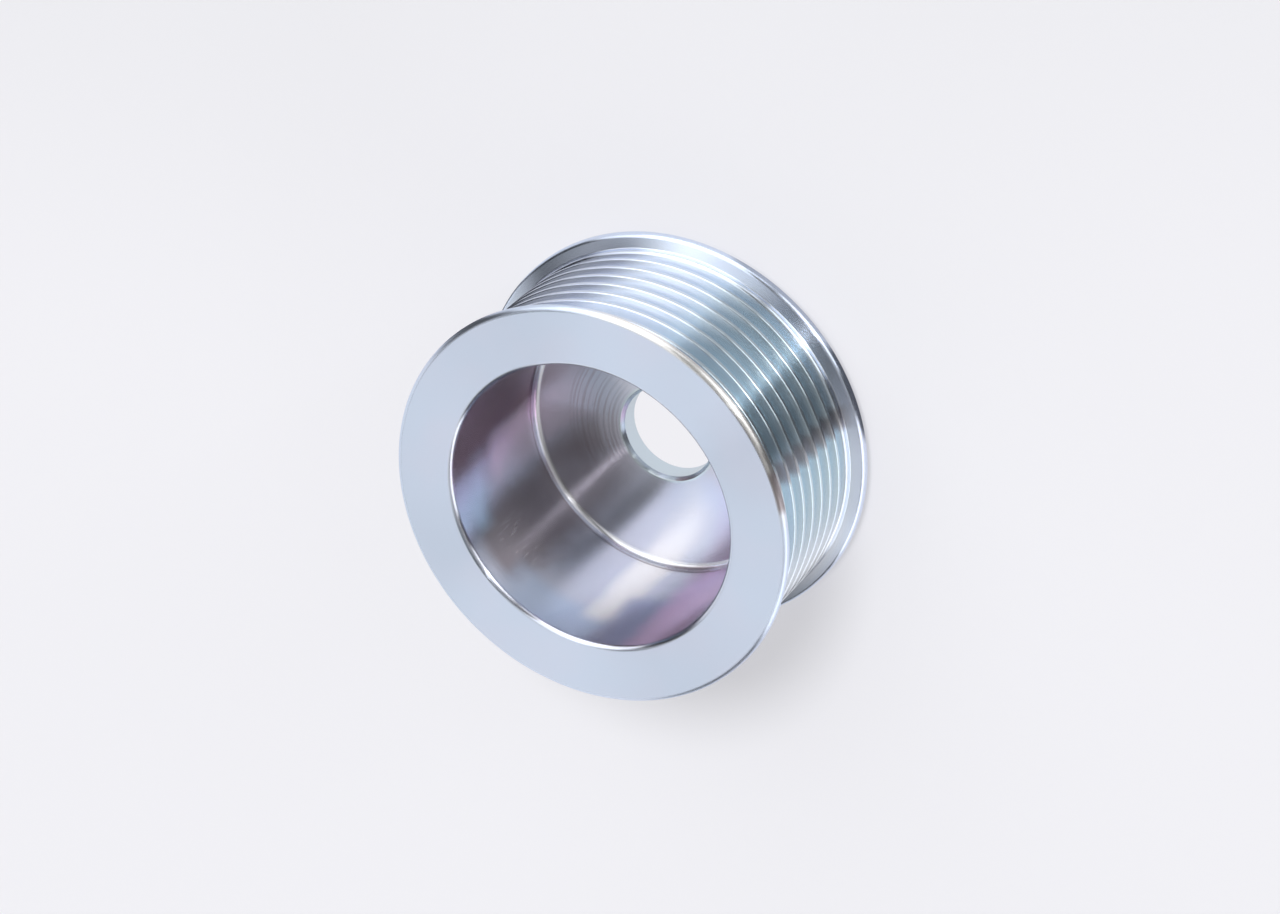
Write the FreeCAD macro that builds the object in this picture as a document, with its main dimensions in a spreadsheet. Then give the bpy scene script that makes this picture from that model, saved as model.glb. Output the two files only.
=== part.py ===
import FreeCAD, Part
import math
import os
import Sketcher

# Multi-rib alternator pulley, turned from one steel bar.
# The axis is +Z. The pulley stands on its rear hub face at z = 0, and the open cup looks up.
# Radii run along X in every sketch, and heights along Z. All lengths are in millimetres.

# Driving sizes: alias, value, meaning
SIZES = [
    ("rib_tip_diameter", 68.7, "outside of the ribs"),
    ("flange_height", 2.3, "how far both flanges stand above the rib tips"),
    ("rib_pitch", 3.56, "from one belt groove to the next"),
    ("groove_count", 8, "number of belt grooves"),
    ("groove_angle", 40, "full angle between the walls of a belt groove, degrees"),
    ("groove_root_radius", 0.4, "round at the bottom of a belt groove"),
    ("rib_tip_width", 0.8, "width of a rib at its tip, before its edges are rounded"),
    ("rib_tip_radius", 0.3, "round on both edges of a rib tip"),
    ("shoulder_width", 1.05, "step at rib height between the last groove and the rear flange"),
    ("shoulder_radius", 0.8, "round from the last groove on to the step"),
    ("shoulder_corner_radius", 0.25, "round in the corner of the step and the rear flange"),
    ("flank_angle", 20, "slope of the rear flange's inner flank, degrees"),
    ("rear_rim_width", 1.77, "width of the rear flange at its outside"),
    ("rear_rim_radius", 0.9, "round from the rear flange's flank on to its outside"),
    ("rear_rim_chamfer", 0.5, "bevel on the rear flange's back edge"),
    ("front_rim_width", 1.18, "width of the front flange at its outside"),
    ("front_rim_radius", 1.0, "round on the front flange's outer edge"),
    ("cup_diameter", 52.1, "inside of the cup"),
    ("cup_corner_radius", 1.25, "round between the cup's wall and its floor"),
    ("mouth_radius", 1.0, "round on the cup's mouth"),
    ("web_thickness", 4.55, "from the hub face to the cup's floor, clamped by the shaft nut"),
    ("hub_diameter", 28.0, "seat that bears on the bearing's inner ring"),
    ("hub_height", 1.45, "how far the hub face stands out behind the rear flange"),
    ("hub_chamfer", 0.3, "bevel on the edge of the hub face"),
    ("bore_diameter", 17.0, "hole for the alternator shaft"),
    ("bore_front_chamfer", 0.6, "bevel where the bore opens into the cup"),
    ("bore_rear_chamfer", 0.4, "bevel where the bore opens in the hub face"),
    ("rib_root_depth", 1.0, "how deep a rib's own outline reaches into the core"),
    ("rib_root_lap", 0.1, "how far a rib's foot runs past the middle of a groove, under the next"),
]


# Document and its table of sizes
doc = FreeCAD.newDocument("AlternatorPulley")
sheet = doc.addObject("Spreadsheet::Sheet", "Sizes")
for row, (alias, value, meaning) in enumerate(SIZES, start=1):
    sheet.set("A%d" % row, meaning)
    sheet.set("B%d" % row, str(value))
    sheet.setAlias("B%d" % row, alias)
doc.recompute()


def size(alias):
    """A driving size as the table holds it."""
    return float(sheet.get(alias))


# Sizes that follow from the driving ones, as expressions for the sketches
TIP_R = "Sizes.rib_tip_diameter / 2"
FLANGE_R = TIP_R + " + Sizes.flange_height"
CUP_R = "Sizes.cup_diameter / 2"
HUB_R = "Sizes.hub_diameter / 2"
BORE_R = "Sizes.bore_diameter / 2"
HALF_ANGLE = "(Sizes.groove_angle / 2)"
HALF_GROOVE = "((Sizes.rib_pitch - Sizes.rib_tip_width) / 2)"
ROOT_R = TIP_R + " - %s / tan(%s) + Sizes.groove_root_radius * (1 / sin(%s) - 1)" % (
    HALF_GROOVE, HALF_ANGLE, HALF_ANGLE)
RIM_EDGE = "Sizes.hub_height + Sizes.rear_rim_width"
FLANK_FOOT = RIM_EDGE + " + Sizes.flange_height * tan(Sizes.flank_angle)"
LAST_GROOVE = FLANK_FOOT + " + Sizes.shoulder_width + " + HALF_GROOVE
FIRST_GROOVE = LAST_GROOVE + " + (Sizes.groove_count - 1) * Sizes.rib_pitch"
FRONT_FLANK = FIRST_GROOVE + " + %s + Sizes.flange_height * tan(%s)" % (HALF_GROOVE, HALF_ANGLE)
FRONT_FACE = FRONT_FLANK + " + Sizes.front_rim_width"

# The same places as numbers, to start the sketches from and to find edges by
tip_r = size("rib_tip_diameter") / 2
flange_r = tip_r + size("flange_height")
cup_r = size("cup_diameter") / 2
hub_r = size("hub_diameter") / 2
bore_r = size("bore_diameter") / 2
hub_height = size("hub_height")
web = size("web_thickness")
pitch = size("rib_pitch")
grooves = int(size("groove_count"))
half_angle = math.radians(size("groove_angle") / 2)
flank_angle = math.radians(size("flank_angle"))
half_groove = (pitch - size("rib_tip_width")) / 2
half_tip = size("rib_tip_width") / 2
rim_edge = hub_height + size("rear_rim_width")
flank_foot = rim_edge + size("flange_height") * math.tan(flank_angle)
last_groove = flank_foot + size("shoulder_width") + half_groove
first_groove = last_groove + (grooves - 1) * pitch
front_flank = first_groove + half_groove + size("flange_height") * math.tan(half_angle)
front_face = front_flank + size("front_rim_width")
root_depth = half_groove / math.tan(half_angle) - size("groove_root_radius") * (1 / math.sin(half_angle) - 1)
root_r = tip_r - root_depth
foot_run = root_depth * math.tan(half_angle)


# Sketch helpers
def axial_sketch(body, name):
    """An empty sketch on the body's own XZ plane: X is the radius and Y is the height."""
    sketch = body.newObject("Sketcher::SketchObject", name)
    plane = [f for f in body.Origin.OriginFeatures if f.Role == "XZ_Plane"][0]
    sketch.AttachmentSupport = [(plane, "")]
    sketch.MapMode = "FlatFace"
    return sketch


def bind(sketch, name, expression, *constraint):
    """Adds a dimension to the sketch and ties it to the table of sizes."""
    index = sketch.addConstraint(Sketcher.Constraint(*constraint))
    sketch.renameConstraint(index, name)
    sketch.setExpression("Constraints." + name, expression)


class Outline:
    """A closed half section: straight sides between named corners, counterclockwise, with
    tangent arcs at the corners that have a round. Each side has its first corner's name."""

    def __init__(self, body, name, corners):
        self.sketch = axial_sketch(body, name)
        self.side = {}
        self.corner = {}
        names = [c[0] for c in corners]
        rounds = [c[3] if len(c) > 3 else None for c in corners]
        spots = [FreeCAD.Vector(c[1], c[2], 0) for c in corners]
        arcs = [self.arc_at(spots, i, rounds[i]) if rounds[i] else None for i in range(len(spots))]
        for i, corner_name in enumerate(names):
            j = (i + 1) % len(names)
            start = arcs[i]["leave"] if arcs[i] else spots[i]
            stop = arcs[j]["reach"] if arcs[j] else spots[j]
            self.side[corner_name] = self.sketch.addGeometry(Part.LineSegment(start, stop), False)
        for i, corner_name in enumerate(names):
            before, after = self.side[names[i - 1]], self.side[corner_name]
            if arcs[i]:
                self.corner[corner_name] = self.join_by_arc(
                    corner_name, before, after, arcs[i], spots[i], rounds[i]
                )
            else:
                self.sketch.addConstraint(Sketcher.Constraint("Coincident", before, 2, after, 1))
                self.corner[corner_name] = (after, 1)

    @staticmethod
    def arc_at(spots, i, alias):
        """Where a round of the named size touches the two sides that meet at corner i."""
        back = (spots[i - 1] - spots[i]).normalize()
        ahead = (spots[(i + 1) % len(spots)] - spots[i]).normalize()
        half = back.getAngle(ahead) / 2
        touch = size(alias) / math.tan(half)
        inward = (back + ahead).normalize()
        return {
            "reach": spots[i] + back * touch,
            "leave": spots[i] + ahead * touch,
            "centre": spots[i] + inward * (size(alias) / math.sin(half)),
            "left_turn": ahead.cross(back).z > 0,
        }

    def join_by_arc(self, corner_name, before, after, arc, spot, alias):
        first, last = ("reach", "leave") if arc["left_turn"] else ("leave", "reach")
        from_centre = [arc[key] - arc["centre"] for key in (first, last)]
        angles = [math.atan2(v.y, v.x) for v in from_centre]
        circle = Part.Circle(arc["centre"], FreeCAD.Vector(0, 0, 1), size(alias))
        item = self.sketch.addGeometry(Part.ArcOfCircle(circle, *angles), False)
        ends = (1, 2) if arc["left_turn"] else (2, 1)
        self.sketch.addConstraint(Sketcher.Constraint("Tangent", before, 2, item, ends[0]))
        self.sketch.addConstraint(Sketcher.Constraint("Tangent", item, ends[1], after, 1))
        sharp = self.sketch.addGeometry(Part.Point(spot), True)
        self.sketch.addConstraint(Sketcher.Constraint("PointOnObject", sharp, 1, before))
        self.sketch.addConstraint(Sketcher.Constraint("PointOnObject", sharp, 1, after))
        bind(self.sketch, corner_name + "_round", "Sizes." + alias, "Radius", item, size(alias))
        return (sharp, 1)

    def across(self, *names):
        """These sides run straight outward or inward."""
        for name in names:
            self.sketch.addConstraint(Sketcher.Constraint("Horizontal", self.side[name]))

    def along(self, *names):
        """These sides run along the axis."""
        for name in names:
            self.sketch.addConstraint(Sketcher.Constraint("Vertical", self.side[name]))

    def slope(self, name, degrees, expression):
        value = math.radians(degrees)
        bind(self.sketch, name + "_slope", expression, "Angle", self.side[name], value)

    def radius(self, name, value, expression):
        item, end = self.corner[name]
        bind(self.sketch, name + "_r", expression, "DistanceX", -1, 1, item, end, value)

    def height(self, name, value, expression):
        item, end = self.corner[name]
        bind(self.sketch, name + "_z", expression, "DistanceY", -1, 1, item, end, value)

    def rise(self, low, high, value, expression):
        """Height from one corner up to another."""
        ends = self.corner[low] + self.corner[high]
        bind(self.sketch, low + "_to_" + high, expression, "DistanceY", *ends, value)

    def turn(self, body, feature_name):
        """A full turn of the half section about the pulley's axis."""
        doc.recompute()
        feature = body.newObject("PartDesign::Revolution", feature_name)
        feature.Profile = self.sketch
        feature.ReferenceAxis = (self.sketch, ["V_Axis"])
        feature.Angle = 360
        self.sketch.Visibility = False
        doc.recompute()
        return feature


def ring_names(feature, rings):
    """Names of the round edges that lie at the given (radius, height) pairs."""
    names = []
    for index, edge in enumerate(feature.Shape.Edges, start=1):
        if not isinstance(edge.Curve, Part.Circle):
            continue
        for radius, height in rings:
            same_radius = abs(edge.Curve.Radius - radius) < 1e-4
            same_height = abs(edge.Curve.Center.z - height) < 1e-4
            if same_radius and same_height:
                names.append("Edge%d" % index)
    if len(names) != len(rings):
        raise RuntimeError("%s: %d of %d edges found" % (feature.Name, len(names), len(rings)))
    return names


def dress(body, kind, name, dimension, alias, *rings):
    """A Fillet or a Chamfer of one size on rings of the body's present tip."""
    base = body.Tip
    feature = body.newObject("PartDesign::" + kind, name)
    feature.Base = (base, ring_names(base, rings))
    feature.setExpression(dimension, "Sizes." + alias)
    doc.recompute()


# Pulley
def core(body):
    """Half section without the ribs: both flanges, the cup, the web, the hub seat and the bore.
    Between the middles of the first and the last groove it is turned down to the groove roots."""
    half = Outline(body, "CoreOutline", [
        ("bore_rear", bore_r, 0),
        ("hub_edge", hub_r, 0),
        ("hub_foot", hub_r, hub_height),
        ("rear_edge", flange_r, hub_height),
        ("rear_rim", flange_r, rim_edge, "rear_rim_radius"),
        ("flank_foot", tip_r, flank_foot, "shoulder_corner_radius"),
        ("shoulder", tip_r, last_groove - half_groove, "shoulder_radius"),
        ("last_root", root_r, last_groove - half_groove + foot_run, "groove_root_radius"),
        ("first_root", root_r, first_groove + half_groove - foot_run, "groove_root_radius"),
        ("front_flank", flange_r, front_flank),
        ("front_edge", flange_r, front_face),
        ("mouth", cup_r, front_face),
        ("cup_corner", cup_r, web),
        ("bore_front", bore_r, web),
    ])
    half.across("bore_rear", "hub_foot", "front_edge", "cup_corner")
    half.along("hub_edge", "rear_edge", "flank_foot", "last_root", "front_flank", "mouth", "bore_front")
    half.slope("rear_rim", 180 - size("flank_angle"), "(180 - Sizes.flank_angle) * 1 deg")
    half.slope("shoulder", 180 - size("groove_angle") / 2, "(180 - %s) * 1 deg" % HALF_ANGLE)
    half.slope("first_root", size("groove_angle") / 2, "%s * 1 deg" % HALF_ANGLE)
    half.radius("bore_rear", bore_r, BORE_R)
    half.radius("hub_edge", hub_r, HUB_R)
    half.radius("rear_edge", flange_r, FLANGE_R)
    half.radius("flank_foot", tip_r, TIP_R)
    half.radius("last_root", root_r, ROOT_R)
    half.radius("front_flank", flange_r, FLANGE_R)
    half.radius("mouth", cup_r, CUP_R)
    half.sketch.addConstraint(Sketcher.Constraint("PointOnObject", *half.corner["bore_rear"], -1))
    half.height("hub_foot", hub_height, "Sizes.hub_height")
    half.height("rear_rim", rim_edge, RIM_EDGE)
    half.rise("flank_foot", "shoulder", size("shoulder_width"), "Sizes.shoulder_width")
    half.height("front_flank", front_flank, FRONT_FLANK)
    half.height("front_edge", front_face, FRONT_FACE)
    half.height("cup_corner", web, "Sizes.web_thickness")
    half.turn(body, "Core")


def ribs(body):
    """One rib with its rounded tip and feet, behind the first groove, repeated to the rear.
    A foot is half of a groove's round root, so two ribs make a whole groove between them."""
    middle = first_groove - pitch / 2
    front = first_groove + size("rib_root_lap")
    rear = first_groove - pitch - size("rib_root_lap")
    inner_r = root_r - size("rib_root_depth")
    rib = Outline(body, "RibOutline", [
        ("inner_rear", inner_r, rear),
        ("rear_end", root_r, rear),
        ("rear_foot", root_r, middle - half_tip - foot_run, "groove_root_radius"),
        ("rear_tip", tip_r, middle - half_tip, "rib_tip_radius"),
        ("front_tip", tip_r, middle + half_tip, "rib_tip_radius"),
        ("front_foot", root_r, middle + half_tip + foot_run, "groove_root_radius"),
        ("front_end", root_r, front),
        ("inner_front", inner_r, front),
    ])
    rib.across("inner_rear", "front_end")
    rib.along("rear_end", "rear_tip", "front_foot", "inner_front")
    rib.slope("rear_foot", size("groove_angle") / 2, "%s * 1 deg" % HALF_ANGLE)
    rib.slope("front_tip", 180 - size("groove_angle") / 2, "(180 - %s) * 1 deg" % HALF_ANGLE)
    rib.radius("inner_rear", inner_r, ROOT_R + " - Sizes.rib_root_depth")
    rib.radius("rear_end", root_r, ROOT_R)
    rib.radius("front_end", root_r, ROOT_R)
    rib.radius("rear_tip", tip_r, TIP_R)
    rib.rise("rear_tip", "front_tip", 2 * half_tip, "Sizes.rib_tip_width")
    rib.height("rear_tip", middle - half_tip, FIRST_GROOVE + " - (Sizes.rib_pitch + Sizes.rib_tip_width) / 2")
    rib.height("inner_rear", rear, FIRST_GROOVE + " - Sizes.rib_pitch - Sizes.rib_root_lap")
    rib.height("inner_front", front, FIRST_GROOVE + " + Sizes.rib_root_lap")
    first_rib = rib.turn(body, "Rib")

    row = body.newObject("PartDesign::LinearPattern", "Ribs")
    row.Originals = [first_rib]
    row.Direction = (rib.sketch, ["V_Axis"])
    row.Reversed = True
    row.setExpression("Length", "(Sizes.groove_count - 2) * Sizes.rib_pitch")
    row.setExpression("Occurrences", "Sizes.groove_count - 1")
    body.Tip = row
    doc.recompute()


def edges(body):
    """Rounds and bevels where a flat face meets a straight wall."""
    dress(body, "Fillet", "FrontRimRound", "Radius", "front_rim_radius", (flange_r, front_face))
    dress(body, "Fillet", "MouthRound", "Radius", "mouth_radius", (cup_r, front_face))
    dress(body, "Fillet", "CupCornerRound", "Radius", "cup_corner_radius", (cup_r, web))
    dress(body, "Chamfer", "BoreFrontBevel", "Size", "bore_front_chamfer", (bore_r, web))
    dress(body, "Chamfer", "BoreRearBevel", "Size", "bore_rear_chamfer", (bore_r, 0))
    dress(body, "Chamfer", "HubBevel", "Size", "hub_chamfer", (hub_r, 0))
    dress(body, "Chamfer", "RearRimBevel", "Size", "rear_rim_chamfer", (flange_r, hub_height))


def pulley():
    body = doc.addObject("PartDesign::Body", "Pulley")
    body.Label = "pulley"
    body.Placement = FreeCAD.Placement(FreeCAD.Vector(0, 0, 0), FreeCAD.Rotation())
    core(body)
    edges(body)
    ribs(body)
    return body


parts = [pulley()]
doc.recompute()

# Checks before anything is written
for item in doc.Objects:
    if "Invalid" in item.State or "Error" in item.State:
        raise RuntimeError("%s did not build: %s" % (item.Name, item.State))
for part in parts:
    if part.Shape.isNull() or not part.Shape.isValid():
        raise RuntimeError("%s has no valid shape" % part.Label)
    if len(part.Shape.Solids) != 1:
        raise RuntimeError("%s is not one solid" % part.Label)

os.makedirs("parts", exist_ok=True)
for part in parts:
    part.Shape.exportStep("parts/" + part.Label + ".step")
    box = part.Shape.BoundBox
    print("%s: height %.2f mm, volume %.0f mm3" % (part.Label, box.ZLength, part.Shape.Volume))
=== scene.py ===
import math

import bmesh
import bpy
from mathutils import Matrix, Vector


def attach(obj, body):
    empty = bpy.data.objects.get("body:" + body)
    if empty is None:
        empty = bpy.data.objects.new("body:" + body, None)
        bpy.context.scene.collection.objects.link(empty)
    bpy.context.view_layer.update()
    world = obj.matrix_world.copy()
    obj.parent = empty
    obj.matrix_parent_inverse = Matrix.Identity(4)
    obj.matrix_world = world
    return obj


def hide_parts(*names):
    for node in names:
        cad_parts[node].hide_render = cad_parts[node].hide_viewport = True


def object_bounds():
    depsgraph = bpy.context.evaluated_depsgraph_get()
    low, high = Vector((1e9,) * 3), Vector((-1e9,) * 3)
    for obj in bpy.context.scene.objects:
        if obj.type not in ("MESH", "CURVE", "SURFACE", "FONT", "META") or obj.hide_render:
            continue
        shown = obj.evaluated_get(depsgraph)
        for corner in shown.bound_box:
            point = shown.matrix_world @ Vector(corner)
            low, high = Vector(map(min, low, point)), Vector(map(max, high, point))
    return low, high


# Turned alternator pulley, bright zinc with a clear blue passivation, on a white studio floor.
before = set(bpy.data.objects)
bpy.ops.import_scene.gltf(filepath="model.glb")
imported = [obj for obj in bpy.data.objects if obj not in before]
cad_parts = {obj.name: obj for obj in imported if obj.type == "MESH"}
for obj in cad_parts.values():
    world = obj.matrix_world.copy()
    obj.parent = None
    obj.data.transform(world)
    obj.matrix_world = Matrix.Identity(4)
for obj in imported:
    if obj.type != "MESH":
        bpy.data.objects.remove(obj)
cad_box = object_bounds()

MM = 0.001
FRONT_FACE = cad_box[1].z
FLANGE_R = cad_box[1].x

# Sizes of the turned form, from the hub face up to the mouth of the cup
TIP_R = 34.35 * MM
PITCH = 3.56 * MM
GROOVES = 8
WALL_SLOPE = math.radians(20)
ROOT_ROUND = 0.4 * MM
TIP_WIDTH = 0.8 * MM
TIP_ROUND = 0.3 * MM
FIRST_GROOVE = FRONT_FACE - 3.397 * MM
SHOULDER_WIDTH = 1.05 * MM
SHOULDER_ROUND = 0.8 * MM
SHOULDER_CORNER = 0.25 * MM
FLANK_SLOPE = math.radians(20)
REAR_RIM_ROUND = 0.9 * MM
REAR_BEVEL = 0.5 * MM
RIM_ROUND = 1.0 * MM
CUP_R = 26.05 * MM
CUP_CORNER = 1.25 * MM
MOUTH_ROUND = 1.0 * MM
WEB = 4.55 * MM
HUB_R = 14.0 * MM
HUB_HEIGHT = 1.45 * MM
HUB_BEVEL = 0.3 * MM
BORE_R = 8.5 * MM
BORE_FRONT_BEVEL = 0.6 * MM
BORE_REAR_BEVEL = 0.4 * MM
EDGE_BREAK = 0.06 * MM

# Fineness of the mesh
TURN_STEPS = 320
ARC_STEP = math.radians(14)
SHARP_TURN = math.radians(35)
WELD_DISTANCE = 0.002 * MM


# Shader maths
class Value:
    """A number or colour on a node tree. Arithmetic on it adds Math nodes."""

    def __init__(self, tree, socket):
        self.tree = tree
        self.socket = socket

    def math(self, operation, *others):
        return self.tree.node("ShaderNodeMath", {"operation": operation}, self, *others)

    def __add__(self, other):
        return self.math("ADD", other)

    def __mul__(self, other):
        return self.math("MULTIPLY", other)

    def __sub__(self, other):
        return self.math("SUBTRACT", other)

    def __rsub__(self, other):
        return self.tree.node("ShaderNodeMath", {"operation": "SUBTRACT"}, other, self)

    def __truediv__(self, other):
        return self.math("DIVIDE", other)

    __radd__ = __add__
    __rmul__ = __mul__


class Tree:
    """Builds a material's or a world's nodes."""

    def __init__(self, owner):
        owner.use_nodes = True
        self.nodes = owner.node_tree.nodes
        self.links = owner.node_tree.links
        self.nodes.clear()

    def node(self, kind, settings=None, *inputs, output=0, **named):
        """Adds a node: its settings first, then values or links of its sockets by place or name."""
        made = self.nodes.new(kind)
        for key, value in (settings or {}).items():
            setattr(made, key, value)
        for place, value in list(enumerate(inputs)) + list(named.items()):
            key = place if isinstance(place, int) else place.replace("_", " ")
            self.put(made.inputs[key], value)
        return Value(self, made.outputs[output]) if made.outputs else made

    def put(self, socket, value):
        if isinstance(value, Value):
            self.links.new(value.socket, socket)
        else:
            socket.default_value = value

    def output(self, value, name):
        """Another output of the node that a value came from."""
        return Value(self, value.socket.node.outputs[name])

    def mix(self, factor, low, high):
        """From one colour to another."""
        made = self.nodes.new("ShaderNodeMix")
        made.data_type = "RGBA"
        for name, value in (("Factor_Float", factor), ("A_Color", low), ("B_Color", high)):
            socket = [s for s in made.inputs if s.identifier == name][0]
            self.put(socket, value)
        return Value(self, [s for s in made.outputs if s.identifier == "Result_Color"][0])

    def smooth(self, value, start, stop):
        """0 before start, 1 after stop, with a soft step between them."""
        made = self.nodes.new("ShaderNodeMapRange")
        made.interpolation_type = "SMOOTHSTEP"
        for place, item in enumerate((value, start, stop, 0.0, 1.0)):
            self.put(made.inputs[place], item)
        return Value(self, made.outputs[0])

    def clouds(self, place, scale, detail, roughness):
        """Noise in space."""
        return self.node(
            "ShaderNodeTexNoise",
            {"noise_dimensions": "3D"},
            Vector=place,
            Scale=scale,
            Detail=detail,
            Roughness=roughness,
        )

    def stripes(self, path, detail, roughness):
        """Noise along a path, about one wave for each unit."""
        return self.node(
            "ShaderNodeTexNoise",
            {"noise_dimensions": "1D"},
            W=path,
            Scale=1.0,
            Detail=detail,
            Roughness=roughness,
        )


def cosine(degrees):
    return math.cos(math.radians(degrees))


def sine(degrees):
    return math.sin(math.radians(degrees))


def facing_azimuth(x, y, length, azimuth):
    """Cosine of the angle about the axis between a place and an azimuth."""
    return (x * cosine(azimuth) + y * sine(azimuth)) / length


# Turned form
def half_section():
    """Corners (radius, height, round) of the half section, counterclockwise from the bore's rear."""
    half_groove = (PITCH - TIP_WIDTH) / 2
    root_depth = half_groove / math.tan(WALL_SLOPE) - ROOT_ROUND * (1 / math.sin(WALL_SLOPE) - 1)
    root_r = TIP_R - root_depth
    root_half = half_groove - root_depth * math.tan(WALL_SLOPE)
    last_groove = FIRST_GROOVE - (GROOVES - 1) * PITCH
    shoulder = last_groove - half_groove
    flank_foot = shoulder - SHOULDER_WIDTH
    rim_edge = flank_foot - (FLANGE_R - TIP_R) * math.tan(FLANK_SLOPE)
    corners = [
        (BORE_R + BORE_REAR_BEVEL, 0, EDGE_BREAK),
        (HUB_R - HUB_BEVEL, 0, EDGE_BREAK),
        (HUB_R, HUB_BEVEL, EDGE_BREAK),
        (HUB_R, HUB_HEIGHT, EDGE_BREAK),
        (FLANGE_R - REAR_BEVEL, HUB_HEIGHT, EDGE_BREAK),
        (FLANGE_R, HUB_HEIGHT + REAR_BEVEL, EDGE_BREAK),
        (FLANGE_R, rim_edge, REAR_RIM_ROUND),
        (TIP_R, flank_foot, SHOULDER_CORNER),
        (TIP_R, shoulder, SHOULDER_ROUND),
    ]
    for place in range(GROOVES):
        middle = last_groove + place * PITCH
        corners += [(root_r, middle - root_half, ROOT_ROUND), (root_r, middle + root_half, ROOT_ROUND)]
        if place < GROOVES - 1:
            corners += [(TIP_R, middle + half_groove, TIP_ROUND)]
            corners += [(TIP_R, middle + PITCH - half_groove, TIP_ROUND)]
    front_flank = FIRST_GROOVE + half_groove + (FLANGE_R - TIP_R) * math.tan(WALL_SLOPE)
    corners += [
        (FLANGE_R, front_flank, EDGE_BREAK),
        (FLANGE_R, FRONT_FACE, RIM_ROUND),
        (CUP_R, FRONT_FACE, MOUTH_ROUND),
        (CUP_R, WEB, CUP_CORNER),
        (BORE_R + BORE_FRONT_BEVEL, WEB, EDGE_BREAK),
        (BORE_R, WEB - BORE_FRONT_BEVEL, EDGE_BREAK),
        (BORE_R, BORE_REAR_BEVEL, EDGE_BREAK),
    ]
    return corners


def turned_mesh(name, corners):
    """Draws the half section as a wire, rounds its corners and spins it about the axis."""
    bm = bmesh.new()
    places = [Vector((radius, 0, height)) for radius, height, _ in corners]
    corner_verts = [bm.verts.new(place) for place in places]
    for i, vert in enumerate(corner_verts):
        bm.edges.new((corner_verts[i - 1], vert))
    for i, (vert, place) in enumerate(zip(corner_verts, places)):
        before = (places[i - 1] - place).normalized()
        after = (places[(i + 1) % len(places)] - place).normalized()
        inside = before.angle(after)
        bmesh.ops.bevel(
            bm,
            geom=[vert],
            offset=corners[i][2] / math.tan(inside / 2),
            offset_type="OFFSET",
            segments=max(2, round((math.pi - inside) / ARC_STEP)),
            profile=0.5,
            affect="VERTICES",
            clamp_overlap=False,
            material=-1,
        )
    bmesh.ops.remove_doubles(bm, verts=bm.verts, dist=WELD_DISTANCE)
    bmesh.ops.spin(
        bm,
        geom=bm.verts[:] + bm.edges[:],
        axis=(0, 0, 1),
        cent=(0, 0, 0),
        angle=math.tau,
        steps=TURN_STEPS,
        use_merge=True,
    )
    bmesh.ops.recalc_face_normals(bm, faces=bm.faces)
    for face in bm.faces:
        face.smooth = True
    for edge in bm.edges:
        edge.smooth = edge.calc_face_angle(0) < SHARP_TURN
    mesh = bpy.data.meshes.new(name)
    bm.to_mesh(mesh)
    bm.free()
    piece = bpy.data.objects.new(name, mesh)
    bpy.context.collection.objects.link(piece)
    shading = piece.modifiers.new("flat lands stay flat", "WEIGHTED_NORMAL")
    shading.keep_sharp = True
    return piece


# Tints of the plated steel; some are also laid on as painted reflections, highlights and shade
BLUE_ZINC = (0.71, 0.80, 0.96, 1)
VIOLET_ZINC = (0.76, 0.79, 0.94, 1)
SILVER_ZINC = (0.72, 0.79, 0.89, 1)
TEAL_ZINC = (0.65, 0.785, 0.85, 1)
PLAIN_ZINC = (0.78, 0.81, 0.87, 1)
PALE_TEAL_ZINC = (0.72, 0.82, 0.85, 1)
BRIGHT_ZINC = (0.93, 0.94, 0.97, 1)
CREAM_ZINC = (0.97, 0.94, 0.89, 1)
LAVENDER_ZINC = (0.68, 0.69, 0.77, 1)
BROWN_ZINC = (0.30, 0.18, 0.21, 1)
CYAN_ZINC = (0.70, 0.87, 1.0, 1)
MAGENTA_ZINC = (0.93, 0.66, 0.90, 1)
ROSE_ZINC = (0.90, 0.80, 0.90, 1)
# Dark tint: partly the film's colour in the cup's patches, elsewhere painted shade and painted dark
# reflections
DARK_TINT_AND_SHADE_ZINC = (0.35, 0.305, 0.32, 1)
SKY_ZINC = (0.60, 0.69, 0.84, 1)
SLATE_ZINC = (0.50, 0.54, 0.73, 1)

# How much of a tint covers what lies under it
VIOLET_SHARE = 0.5
RIB_SHARE = 0.9
TEAL_SHARE = 0.9
SLATE_SHARE = 0.45
PAINTED_REFLECTION_SHARE = 0.65
CREAM_SHARE = 0.85
RIM_END_SHARE = 0.9
LAVENDER_SHARE = 0.95
LAVENDER_DRIFT = 0.25
PATCH_SHARE = 0.9
DARK_WEB_SHARE = 0.45
CORNER_SHARE = 0.8
DARK_LINE_SHARE = 0.6
BORE_SHARE = 0.8
RING_SHARE = 0.25
WORN_SHARE = 0.12

# Soft steps between the regions: where each begins and where it is full, by radius
OUTSIDE_CUP = (CUP_R + 0.1 * MM, CUP_R + 0.9 * MM)
TO_CUP_WALL = (CUP_R - 1.2 * MM, CUP_R - 0.2 * MM)
TO_CUP_CORNER = (CUP_R - CUP_CORNER, CUP_R - 0.9 * MM)
TO_RIBS = (CUP_R + 2 * MM, CUP_R + 3 * MM)
TO_RIM = (FLANGE_R - 1.0 * MM, FLANGE_R - 0.5 * MM)
OUTSIDE_BORE = (BORE_R + 0.7 * MM, BORE_R + 1.2 * MM)
TO_DARK_WEB = (12 * MM, 15 * MM)
OUTSIDE_RINGS = (17 * MM, 22 * MM)

# The same by height above the hub face
ABOVE_WEB = (WEB - 0.3 * MM, WEB)
ABOVE_FLANK = (3.0 * MM, 4.5 * MM)
ABOVE_SHOULDER = (4.5 * MM, 6 * MM)
ABOVE_CORNER = (WEB + 0.9 * MM, WEB + CUP_CORNER)
TO_DARK_LINE = (WEB + 1.2 * MM, WEB + 1.45 * MM)
ABOVE_DARK_LINE = (WEB + 1.5 * MM, WEB + 1.8 * MM)

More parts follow.
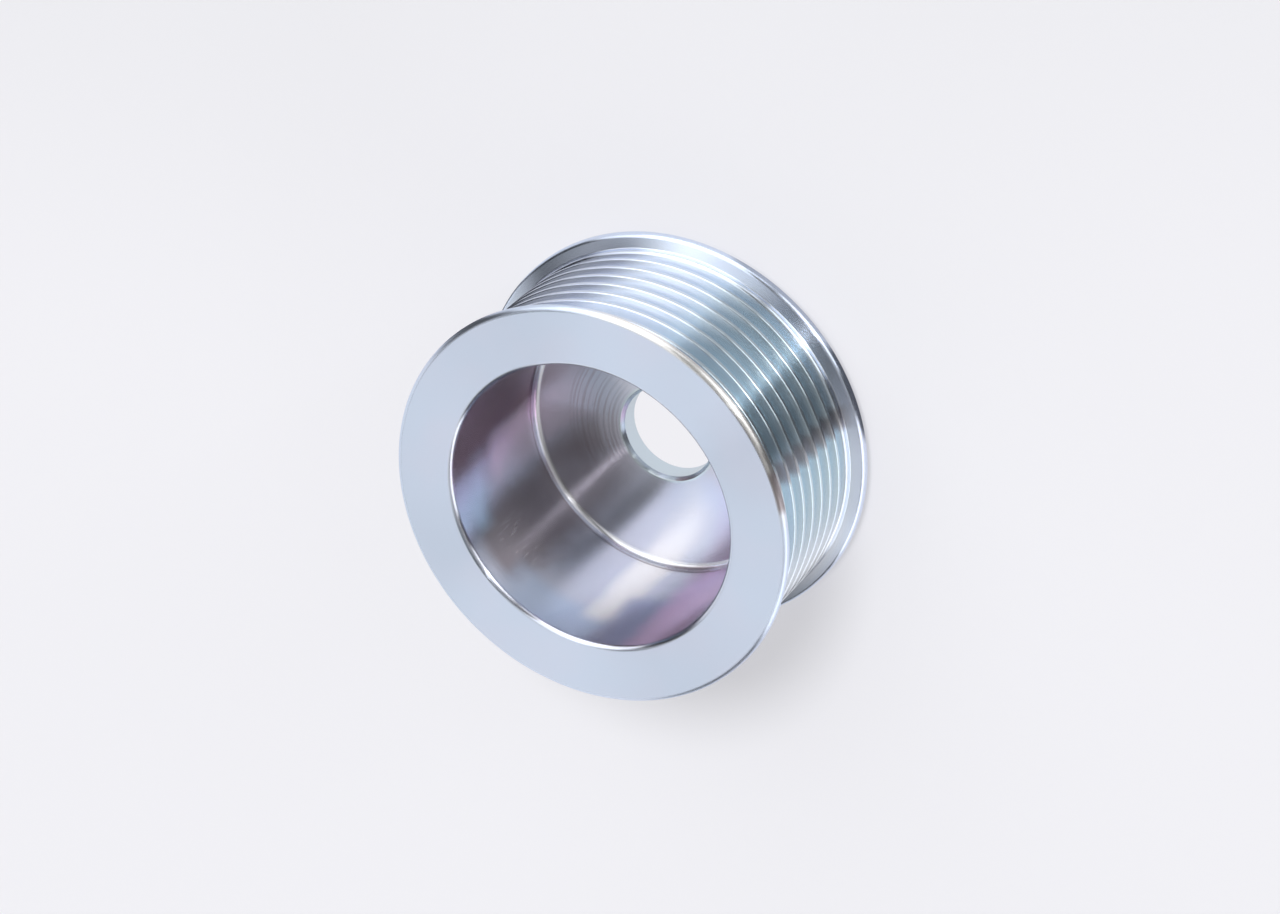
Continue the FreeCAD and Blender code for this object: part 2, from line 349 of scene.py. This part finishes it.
# The same by depth below the front face
BELOW_FACE = (1.5 * MM, 2.5 * MM)
BELOW_RIM = (1.0 * MM, 1.6 * MM)
INSIDE_MOUTH = (0.3 * MM, 1.2 * MM)
TO_WORN_PLACE = (6 * MM, 9 * MM)
BELOW_WORN_PLACE = (14 * MM, 18 * MM)

# Sides of the pulley: azimuth, half width to where the tint ends and to where it is full, in degrees.
# The dark band across the ribs and the dark end of the rim are painted dark reflections.
TEAL_SIDE = (-20, 52, 22)
SLATE_SIDE = (72, 30, 15)
PLAIN_SIDE = (200, 105, 80)
PAINTED_REFLECTION_SIDE = (-32, 4.5, 1)
CREAM_SIDE = (0, 45, 28)
RIM_END_SIDE = (-32, 7, 4)
DARK_WEB_SIDE = (142, 19, 5)
RING_SIDE = (130, 50, 20)
WORN_SIDE = (172, 14, 6)

# Patches of tint on the cup's wall, partly the film's own tint and partly painted reflections and
# highlights: azimuth and half width in degrees, lowest and highest depth below the mouth, colour
CUP_PATCHES = [
    (112, 19, -5 * MM, 40 * MM, BROWN_ZINC),
    (138, 8, 11 * MM, 40 * MM, ROSE_ZINC),
    (145, 6, -5 * MM, 13 * MM, CYAN_ZINC),
    (168, 15, 1 * MM, 40 * MM, DARK_TINT_AND_SHADE_ZINC),
    (200, 20, -5 * MM, 12 * MM, SKY_ZINC),
    (151, 4, 1 * MM, 11 * MM, CYAN_ZINC),
    (216, 2.5, 5 * MM, 40 * MM, CREAM_ZINC),
    (229, 6, -5 * MM, 20 * MM, SLATE_ZINC),
    (250, 13, -5 * MM, 40 * MM, MAGENTA_ZINC),
]
PATCH_EDGE = 7
PATCH_END = 5 * MM
PATCH_WOBBLE = 0.15

# Noise of the film, drift of its tint, marks of the turning tool and strokes of wear
CLOUD_SCALE = 55.0
FINE_CLOUD_SCALE = 190.0
DRIFT_STEP = (0.35, 0.70)
CLIMB_SHARE = 0.9
MARK_PITCH = 0.22 * MM
MARK_DEPTH = 0.0012 * MM
RING_PITCH = 0.6 * MM
RING_DEPTH = 0.010 * MM
RING_STEP = (0.50, 0.58)
STROKE_SCALE = 2400.0
STROKE_STRETCH = (1.0, 1.0, 0.12)
STROKE_STEP = (0.58, 0.68)

# Gloss
TURNED_ROUGHNESS = 0.21
CLOUD_ROUGHNESS = 0.03
WORN_ROUGHNESS = 0.05
RIM_ROUGHNESS = 0.07
TURNED_ANISOTROPY = 0.93
QUARTER_TURN = 0.25


def plated_steel():
    """Turned steel, zinc plated: every mark of the tool runs round the axis, so highlights spread across
    the marks, and the clear blue film changes its tint from place to place. Some of these tints are
    painted reflections, highlights and shade."""
    material = bpy.data.materials.new("zinc_plated_steel")
    tree = Tree(material)
    place = tree.node("ShaderNodeTexCoord", output=3)
    x = tree.node("ShaderNodeSeparateXYZ", None, place)
    y = tree.output(x, "Y")
    height = tree.output(x, "Z")
    radius = (x * x + y * y).math("SQRT")
    depth = FRONT_FACE - height

    def on_side(azimuth, ends, full):
        return tree.smooth(facing_azimuth(x, y, radius, azimuth), cosine(ends), cosine(full))

    in_cup = (1 - tree.smooth(radius, *OUTSIDE_CUP)) * tree.smooth(height, *ABOVE_WEB)
    on_wall = in_cup * tree.smooth(radius, *TO_CUP_WALL)
    on_ribs = tree.smooth(depth, *BELOW_FACE) * tree.smooth(radius, *TO_RIBS)
    on_ribs = on_ribs * tree.smooth(height, *ABOVE_FLANK)
    on_rim = tree.smooth(radius, *TO_RIM) * (1 - tree.smooth(depth, *BELOW_RIM))

    clouds = tree.clouds(place, CLOUD_SCALE, 2.0, 0.5)
    fine_clouds = tree.clouds(place, FINE_CLOUD_SCALE, 3.0, 0.6)
    drift = tree.smooth(clouds, *DRIFT_STEP)

    # Faces, ribs and rims
    colour = tree.mix(drift * VIOLET_SHARE, BLUE_ZINC, VIOLET_ZINC)
    # Teal on one side of the ribs: partly the film's own tint, partly a painted reflection of the dark
    # room.
    teal = on_side(*TEAL_SIDE) * tree.smooth(height, *ABOVE_SHOULDER) * TEAL_SHARE
    rib_tint = tree.mix(teal, SILVER_ZINC, TEAL_ZINC)
    # Slate on another side of the ribs: a painted dark reflection.
    rib_tint = tree.mix(on_side(*SLATE_SIDE) * SLATE_SHARE, rib_tint, SLATE_ZINC)
    rib_tint = tree.mix(on_side(*PLAIN_SIDE), rib_tint, PLAIN_ZINC)
    colour = tree.mix(on_ribs * RIB_SHARE, colour, rib_tint)
    # A narrow dark band across the ribs: a painted dark reflection.
    colour = tree.mix(on_ribs * on_side(*PAINTED_REFLECTION_SIDE) * PAINTED_REFLECTION_SHARE, colour, DARK_TINT_AND_SHADE_ZINC)
    # Cream on one side of the front rim: a painted highlight.
    colour = tree.mix(on_rim * on_side(*CREAM_SIDE) * CREAM_SHARE, colour, CREAM_ZINC)
    # A dark patch on one side of the front rim: a painted dark reflection.
    colour = tree.mix(on_rim * on_side(*RIM_END_SIDE) * RIM_END_SHARE, colour, DARK_TINT_AND_SHADE_ZINC)

    # Cup
    colour = tree.mix(in_cup * (LAVENDER_SHARE - LAVENDER_DRIFT * drift), colour, LAVENDER_ZINC)
    inside = tree.smooth(depth, *INSIDE_MOUTH)
    for azimuth, half_width, low, high, tint in CUP_PATCHES:
        wobble = (fine_clouds - 0.5) * (PATCH_WOBBLE * sine(half_width))
        facing = facing_azimuth(x, y, radius, azimuth) + wobble
        full_width = max(half_width - PATCH_EDGE, 0)
        across = tree.smooth(facing, cosine(half_width + PATCH_EDGE), cosine(full_width))
        along = tree.smooth(depth, low, low + PATCH_END) * (1 - tree.smooth(depth, high - PATCH_END, high))
        colour = tree.mix(on_wall * across * along * inside * PATCH_SHARE, colour, tint)
    # A dark patch on one side of the web: partly the film's own tint, partly a painted dark reflection.
    dark_web_patch = in_cup * (1 - on_wall) * on_side(*DARK_WEB_SIDE) * tree.smooth(radius, *TO_DARK_WEB)
    colour = tree.mix(dark_web_patch * DARK_WEB_SHARE, colour, DARK_TINT_AND_SHADE_ZINC)
    # A bright ring in the cup's inner corner: a painted highlight.
    corner = in_cup * tree.smooth(radius, *TO_CUP_CORNER) * (1 - tree.smooth(height, *ABOVE_CORNER))
    colour = tree.mix(corner * CORNER_SHARE, colour, BRIGHT_ZINC)
    # A dark line on the cup's wall just above the corner: a painted dark reflection.
    painted_dark_line = on_wall * tree.smooth(height, *TO_DARK_LINE) * (1 - tree.smooth(height, *ABOVE_DARK_LINE))
    colour = tree.mix(painted_dark_line * DARK_LINE_SHARE, colour, DARK_TINT_AND_SHADE_ZINC)
    in_bore = 1 - tree.smooth(radius, *OUTSIDE_BORE)
    colour = tree.mix(in_bore * BORE_SHARE, colour, PALE_TEAL_ZINC)

    # Marks of the turning tool, along a path that runs out over faces and up along walls
    path = radius + height * CLIMB_SHARE
    marks = tree.stripes(path / MARK_PITCH, 3.0, 0.6)
    rings = tree.stripes(path / RING_PITCH, 1.0, 0.4)
    near_bore = in_cup * (1 - tree.smooth(radius, *OUTSIDE_RINGS))
    relief = marks * MARK_DEPTH + rings * (near_bore * RING_DEPTH)
    # The turning rings are real relief; their dark tint on one side only is painted shade.
    ring_lines = tree.smooth(rings, *RING_STEP) * near_bore * on_side(*RING_SIDE)
    colour = tree.mix(ring_lines * RING_SHARE, colour, DARK_TINT_AND_SHADE_ZINC)
    bump = tree.node("ShaderNodeBump", None, Strength=1.0, Distance=1.0, Height=relief)

    # A place on the cup's wall that is worn in short strokes
    handled = on_side(*WORN_SIDE) * on_wall
    handled = handled * tree.smooth(depth, *TO_WORN_PLACE) * (1 - tree.smooth(depth, *BELOW_WORN_PLACE))
    stretched = tree.node("ShaderNodeVectorMath", {"operation": "MULTIPLY"}, place, STROKE_STRETCH)
    strokes = tree.clouds(stretched, STROKE_SCALE, 1.0, 0.5)
    worn = handled * tree.smooth(strokes, *STROKE_STEP)
    colour = tree.mix(worn * WORN_SHARE, colour, BRIGHT_ZINC)
    roughness = TURNED_ROUGHNESS + fine_clouds * CLOUD_ROUGHNESS
    roughness = roughness + worn * WORN_ROUGHNESS + on_rim * RIM_ROUGHNESS

    surface = tree.node(
        "ShaderNodeBsdfPrincipled",
        None,
        Base_Color=colour,
        Metallic=1.0,
        Roughness=roughness,
        Anisotropic=TURNED_ANISOTROPY,
        Anisotropic_Rotation=QUARTER_TURN,
        Normal=bump,
    )
    tree.node("ShaderNodeOutputMaterial", None, surface)
    return material


pulley = turned_mesh("turned_pulley", half_section())
pulley.data.materials.append(plated_steel())
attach(pulley, "root")
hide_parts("pulley")


# Studio
FLOOR_SIZE = 4.0
FLOOR_GAP = 0.05 * MM
FLOOR_COLOUR = (0.61, 0.61, 0.635, 1)
FLOOR_GLOW = (0.87, 0.865, 0.905, 1)
FAR_GLOW = (0.79, 0.79, 0.82, 1)
FAR_AZIMUTH = 53
FAR_STEP = (10 * MM, 110 * MM)
GLOW_TO_CAMERA = 0.5
GLOW_TO_METAL = 0.75
SMALLEST_DISTANCE = 1.0 * MM
SOFT_EDGE = 1.0 * MM

# Dark cards that lie round the pulley on the floor and show in the metal alone: azimuth and half
# width in degrees, share of the floor's light that each takes
DARK_CARDS = [
    (-27, 14, 0.92),
    (6, 17, 0.45),
    (108, 9, 0.90),
]
CARD_EDGE = 3
DARK_CARD_COLOUR = (0.03, 0.03, 0.035, 1)


def white_floor():
    """A pale floor that keeps the pulley's shadow and gives back some light of its own, so that it shows
    evenly in the picture and in the metal. Seen through the bore it shows by that light alone."""
    bm = bmesh.new()
    sunk = Matrix.Translation((0, 0, -FLOOR_GAP))
    bmesh.ops.create_grid(bm, x_segments=1, y_segments=1, size=FLOOR_SIZE / 2, matrix=sunk)
    mesh = bpy.data.meshes.new("studio_floor")
    bm.to_mesh(mesh)
    bm.free()
    floor = bpy.data.objects.new("studio_floor", mesh)
    bpy.context.collection.objects.link(floor)
    material = bpy.data.materials.new("white_floor")
    tree = Tree(material)
    position = tree.node("ShaderNodeTexCoord", output=3)
    x = tree.node("ShaderNodeSeparateXYZ", None, position)
    y = tree.output(x, "Y")
    axis_distance = (x * x + y * y).math("SQRT").math("MAXIMUM", SMALLEST_DISTANCE)
    under_bore = 1 - tree.smooth(axis_distance, BORE_R, BORE_R + SOFT_EDGE)
    to_camera = tree.node("ShaderNodeLightPath")
    to_metal = tree.output(to_camera, "Is Glossy Ray")
    glow_share = to_camera * (GLOW_TO_CAMERA + (1 - GLOW_TO_CAMERA) * under_bore) + to_metal * GLOW_TO_METAL
    diffuse = tree.node("ShaderNodeBsdfDiffuse", None, FLOOR_COLOUR)
    far = tree.smooth(x * cosine(FAR_AZIMUTH) + y * sine(FAR_AZIMUTH), *FAR_STEP)
    glow = tree.node("ShaderNodeEmission", None, tree.mix(far, FLOOR_GLOW, FAR_GLOW), 1.0)
    lit = tree.node("ShaderNodeMixShader", None, glow_share, diffuse, glow)
    covered = 0
    for azimuth, half_width, share in DARK_CARDS:
        facing = facing_azimuth(x, y, axis_distance, azimuth)
        card = tree.smooth(facing, cosine(half_width + CARD_EDGE), cosine(half_width - CARD_EDGE))
        covered = card * share + covered
    dark = tree.node("ShaderNodeBsdfDiffuse", None, DARK_CARD_COLOUR)
    beside = tree.smooth(axis_distance, TIP_R, TIP_R + SOFT_EDGE)
    mixed = tree.node("ShaderNodeMixShader", None, covered * to_metal * beside, lit, dark)
    tree.node("ShaderNodeOutputMaterial", None, mixed)
    mesh.materials.append(material)
    return floor


# White boards and soft boxes round the pulley, which the metal shows as bright bands: name, azimuth and
# half width, lowest and highest elevation in degrees, strength. All rows but the three strips began as a
# fit to the photo's brightness by a separate script, and were then rounded and partly changed by hand.
BOARDS = [
    ("tall wide board", 64, 34, 4, 66, 1.5),
    ("low broad board", -10, 20, -4, 20, 2.4),
    ("wide soft box at middle height", 215, 35, 35, 70, 0.8),
    ("narrow soft box beside it", 165, 15, 38, 62, 0.8),
    ("long slim board beside that", 115, 35, 45, 51, 0.9),
    ("half screen overhead", 105, 80, 62, 92, 0.7),
    ("low board under the soft boxes", 170, 38, -5, 33, 0.95),
    ("low board", 275, 30, 0, 30, 1.9),
    ("slim upright board", 352, 6, 4, 34, 1.2),
    ("small board high over the tall one", 70, 10, 50, 68, 0.6),
    ("board by the floor", 45, 30, -8, 16, 1.9),
    ("small high board", 262, 12, 45, 70, 0.6),
    ("faint wide screen", 325, 50, 35, 75, 0.3),
    ("long thin board under it", 330, 50, 31, 36, 1.4),
    ("upright strip, low part", -13, 1.5, 5, 34, 6.0),
    ("upright strip, middle part", -14, 1.5, 40, 60, 1.6),
    ("upright strip, high part", -18, 1.5, 63, 80, 5.0),
]
BOARD_EDGE = 4
ZENITH = 90
SMALLEST_LEVEL = 0.0001
ROOM_LIGHT = 0.02
SUN_AZIMUTH = 28
SUN_ELEVATION = 55
SUN_STRENGTH = 2.62
SUN_SIZE = 19


def studio_world():
    """A dark room with bright boards. The metal shows them as bands."""
    world = bpy.data.worlds.new("studio")
    bpy.context.scene.world = world
    tree = Tree(world)
    ray = tree.node("ShaderNodeTexCoord", output=0)
    x = tree.node("ShaderNodeSeparateXYZ", None, ray)
    y = tree.output(x, "Y")
    z = tree.output(x, "Z")
    level = (x * x + y * y).math("SQRT").math("MAXIMUM", SMALLEST_LEVEL)
    total = ROOM_LIGHT
    for name, azimuth, half_width, low, high, strength in BOARDS:
        board = tree.smooth(z, sine(low - BOARD_EDGE), sine(low + BOARD_EDGE)) * strength
        side_edge = min(BOARD_EDGE, half_width / 2)
        facing = facing_azimuth(x, y, level, azimuth)
        board = board * tree.smooth(facing, cosine(half_width + side_edge), cosine(half_width - side_edge))
        if high + BOARD_EDGE < ZENITH:
            board = board * (1 - tree.smooth(z, sine(high - BOARD_EDGE), sine(high + BOARD_EDGE)))
        board.socket.node.label = name
        total = board + total
    background = tree.node("ShaderNodeBackground", None, (1, 1, 1, 1), total)
    tree.node("ShaderNodeOutputWorld", None, background)


def floor_lamp():
    """A wide lamp that lights the floor and gives the soft shadow, and isn't mirrored in the metal."""
    lamp = bpy.data.lights.new("floor_lamp", "SUN")
    lamp.energy = SUN_STRENGTH
    lamp.angle = math.radians(SUN_SIZE)
    holder = bpy.data.objects.new("floor_lamp", lamp)
    bpy.context.collection.objects.link(holder)
    level = cosine(SUN_ELEVATION)
    towards = Vector((level * cosine(SUN_AZIMUTH), level * sine(SUN_AZIMUTH), sine(SUN_ELEVATION)))
    holder.matrix_world = towards.to_track_quat("Z", "Y").to_matrix().to_4x4()
    holder.visible_glossy = False


# Camera at the photograph's angle, fitted to the pulley's circles in the photo and rolled because the
# real pulley lies on its rims. The distance and the shifts are in flange radii.
ELEVATION = math.radians(52.211)
ROLL = math.radians(-133.244)
DISTANCE = 19.536
SIDE_SHIFT = -0.2311
UP_SHIFT = -0.2279
FOCAL_PIXELS = 4274.5
PHOTO_WIDTH = 1280
SENSOR_WIDTH = 36
NEAREST = 0.01
FACE_OFFSET = 0.651 * MM


def photo_camera():
    towards = Vector((math.cos(ELEVATION), 0, math.sin(ELEVATION)))
    right = Vector((0, 1, 0))
    up = right.cross(-towards)
    picture_right = right * math.cos(ROLL) + up * math.sin(ROLL)
    picture_up = -right * math.sin(ROLL) + up * math.cos(ROLL)
    place = (towards * DISTANCE - picture_right * SIDE_SHIFT - picture_up * UP_SHIFT) * FLANGE_R
    place.z += FRONT_FACE - FACE_OFFSET
    data = bpy.data.cameras.new("photo_camera")
    data.sensor_width = SENSOR_WIDTH
    data.lens = FOCAL_PIXELS / PHOTO_WIDTH * data.sensor_width
    data.clip_start = NEAREST
    camera = bpy.data.objects.new("photo_camera", data)
    bpy.context.collection.objects.link(camera)
    axes = Matrix((picture_right, picture_up, towards)).transposed()
    camera.matrix_world = Matrix.Translation(place) @ axes.to_4x4()
    bpy.context.scene.camera = camera


floor = white_floor()
studio_world()
floor_lamp()
photo_camera()
bpy.context.scene.view_settings.view_transform = "Standard"
